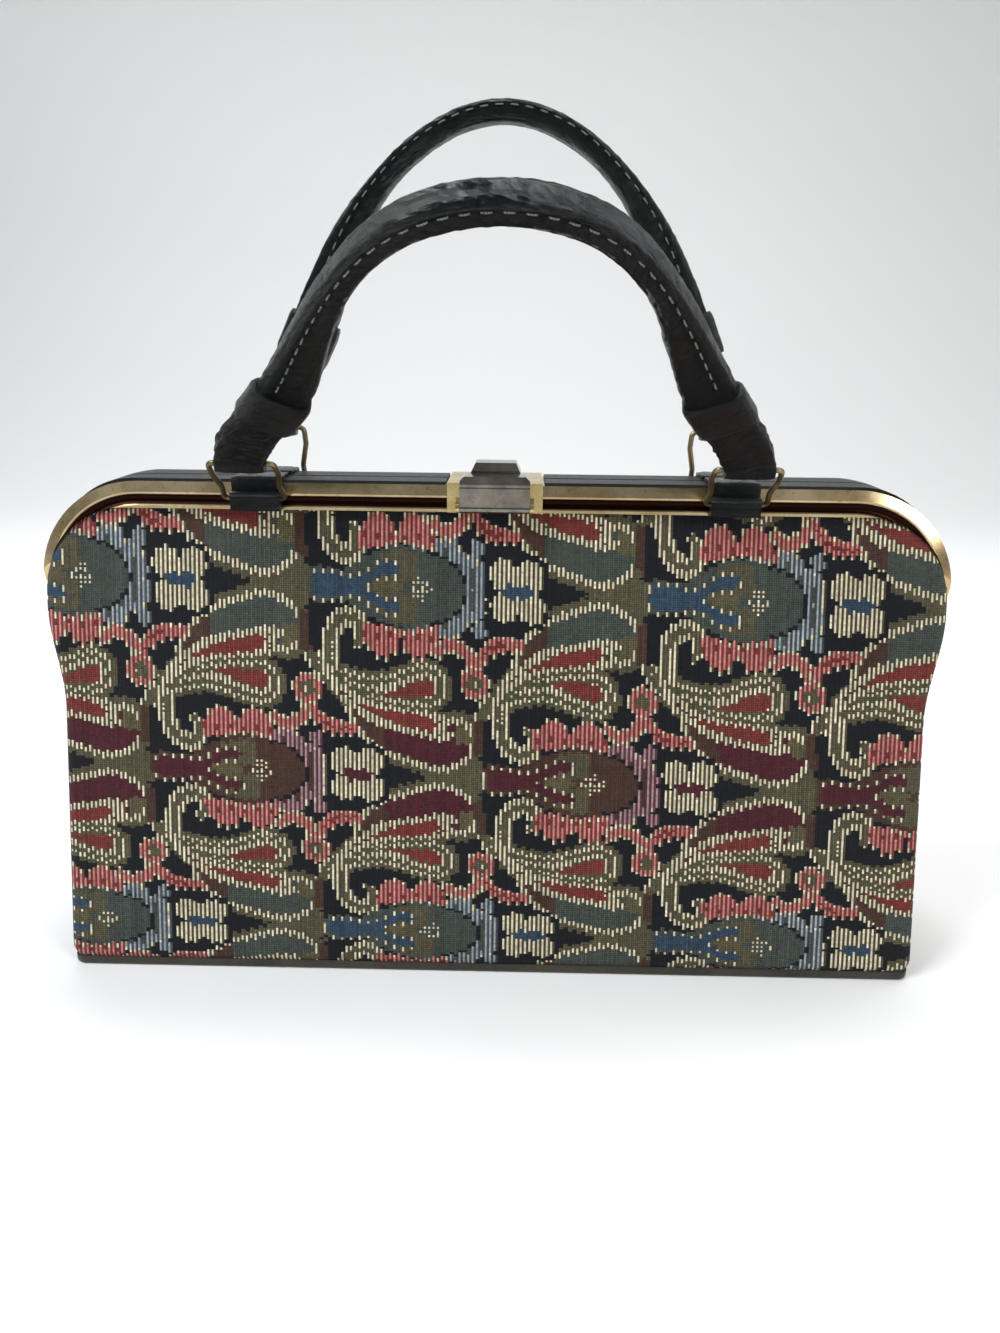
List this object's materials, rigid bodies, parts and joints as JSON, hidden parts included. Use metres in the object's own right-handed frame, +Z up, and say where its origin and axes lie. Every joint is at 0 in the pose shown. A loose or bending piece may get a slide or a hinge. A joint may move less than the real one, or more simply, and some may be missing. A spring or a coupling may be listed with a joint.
{
  "type": "tapestry handbag",
  "caption": "Structured handbag of woven paisley tapestry on a hinged metal frame, with a lift clasp and a pair of leather handles on wire rings.",
  "frame": {"origin": "middle of the base, on the surface that the bag stands on", "axes": "+X along the bag's width, the clasp side faces -Y, +Z up"},
  "size_m": [0.3068, 0.1564, 0.2803],
  "materials": {
    "tapestry": "woven cotton tapestry",
    "lining_cloth": "plain black cloth",
    "frame_brass": "polished pale gold",
    "clasp_nickel": "polished nickel",
    "spring_steel": "plain",
    "ring_wire": "tarnished wire",
    "strip_leather": "smooth black",
    "strap_leather": "crinkled gloss black",
    "weave_cream": "woven field, cream ribs",
    "weave_red": "woven field, brick red",
    "weave_pink": "woven field, coral pink",
    "weave_blue": "woven field, steel blue",
    "weave_slate": "woven field, slate",
    "weave_grey": "woven field, grey blue",
    "weave_maroon": "woven field, maroon"
  },
  "bodies": {
    "body": {"base_panel": "tapestry", "front_panel": "tapestry", "back_panel": "tapestry", "left_gusset": "tapestry", "right_gusset": "tapestry", "lining": "lining_cloth", "left_hinge_rivet": "frame_brass", "right_hinge_rivet": "frame_brass", "front_weave_cream": "weave_cream", "front_weave_red": "weave_red", "front_weave_pink": "weave_pink", "front_weave_blue": "weave_blue", "front_weave_slate": "weave_slate", "front_weave_grey": "weave_grey", "front_weave_maroon": "weave_maroon", "back_weave_cream": "weave_cream", "back_weave_red": "weave_red", "back_weave_pink": "weave_pink", "back_weave_blue": "weave_blue", "back_weave_slate": "weave_slate", "back_weave_grey": "weave_grey", "back_weave_maroon": "weave_maroon"},
    "front_half": {"front_frame": "frame_brass", "front_strip_left": "strip_leather", "front_strip_right": "strip_leather", "front_tab_left": "strap_leather", "front_tab_right": "strap_leather", "clasp_plate": "frame_brass", "clasp_pin": "clasp_nickel", "clasp_spring": "spring_steel"},
    "back_half": {"back_frame": "frame_brass", "back_strip_left": "strip_leather", "back_strip_right": "strip_leather", "back_tab_left": "strap_leather", "back_tab_right": "strap_leather", "keeper_plate": "frame_brass", "clasp_keeper": "clasp_nickel"},
    "lever": {"clasp_lever": "clasp_nickel"},
    "front_ring_left": {"front_ring_left": "ring_wire"},
    "front_ring_right": {"front_ring_right": "ring_wire"},
    "front_grip": {"front_handle": "strap_leather", "front_band_left": "strap_leather", "front_band_right": "strap_leather"},
    "back_ring_left": {"back_ring_left": "ring_wire"},
    "back_ring_right": {"back_ring_right": "ring_wire"},
    "back_grip": {"back_handle": "strap_leather", "back_band_left": "strap_leather", "back_band_right": "strap_leather"}
  },
  "joints": [
    {"name": "front_half_opens", "type": "hinge", "parent": "body", "child": "front_half", "pos_m": [0, 0, 0.118], "axis": [1, 0, 0], "range_deg": [0, 30], "deforming": ["front_panel", "back_panel", "left_gusset", "right_gusset", "lining", "front_weave_cream", "front_weave_red", "front_weave_pink", "front_weave_blue", "front_weave_slate", "front_weave_grey", "front_weave_maroon", "back_weave_cream", "back_weave_red", "back_weave_pink", "back_weave_blue", "back_weave_slate", "back_weave_grey", "back_weave_maroon"]},
    {"name": "back_half_opens", "type": "hinge", "parent": "body", "child": "back_half", "pos_m": [0, 0, 0.118], "axis": [1, 0, 0], "range_deg": [-30, 0], "deforming": ["front_panel", "back_panel", "left_gusset", "right_gusset", "lining", "front_weave_cream", "front_weave_red", "front_weave_pink", "front_weave_blue", "front_weave_slate", "front_weave_grey", "front_weave_maroon", "back_weave_cream", "back_weave_red", "back_weave_pink", "back_weave_blue", "back_weave_slate", "back_weave_grey", "back_weave_maroon"]},
    {"name": "lever_lifts", "type": "hinge", "parent": "front_half", "child": "lever", "pos_m": [0, -0.0166, 0.1561], "axis": [1, 0, 0], "range_deg": [0, 60]},
    {"name": "front_ring_left_swings", "type": "hinge", "parent": "front_half", "child": "front_ring_left", "pos_m": [-0.0775, -0.01616, 0.1584], "axis": [1, 0, 0], "range_deg": [-50, 80]},
    {"name": "front_ring_right_swings", "type": "hinge", "parent": "front_half", "child": "front_ring_right", "pos_m": [0.0775, -0.01616, 0.1584], "axis": [1, 0, 0], "range_deg": [-50, 80]},
    {"name": "front_grip_swings", "type": "hinge", "parent": "front_ring_left", "child": "front_grip", "pos_m": [-0.0775, -0.03148, 0.17126], "axis": [1, 0, 0], "range_deg": [-3, 35]},
    {"name": "back_ring_left_swings", "type": "hinge", "parent": "back_half", "child": "back_ring_left", "pos_m": [-0.0775, 0.01616, 0.1584], "axis": [-1, 0, 0], "range_deg": [-3, 130]},
    {"name": "back_ring_right_swings", "type": "hinge", "parent": "back_half", "child": "back_ring_right", "pos_m": [0.0775, 0.01616, 0.1584], "axis": [-1, 0, 0], "range_deg": [-3, 130]},
    {"name": "back_grip_swings", "type": "hinge", "parent": "back_ring_left", "child": "back_grip", "pos_m": [-0.0775, 0.01616, 0.1784], "axis": [-1, 0, 0], "range_deg": [-3, 35]}
  ],
  "couplings": [
    {"joint": "back_half_opens", "follows": "front_half_opens", "ratio": -1},
    {"joint": "front_ring_right_swings", "follows": "front_ring_left_swings", "ratio": 1},
    {"joint": "back_ring_right_swings", "follows": "back_ring_left_swings", "ratio": 1}
  ]
}
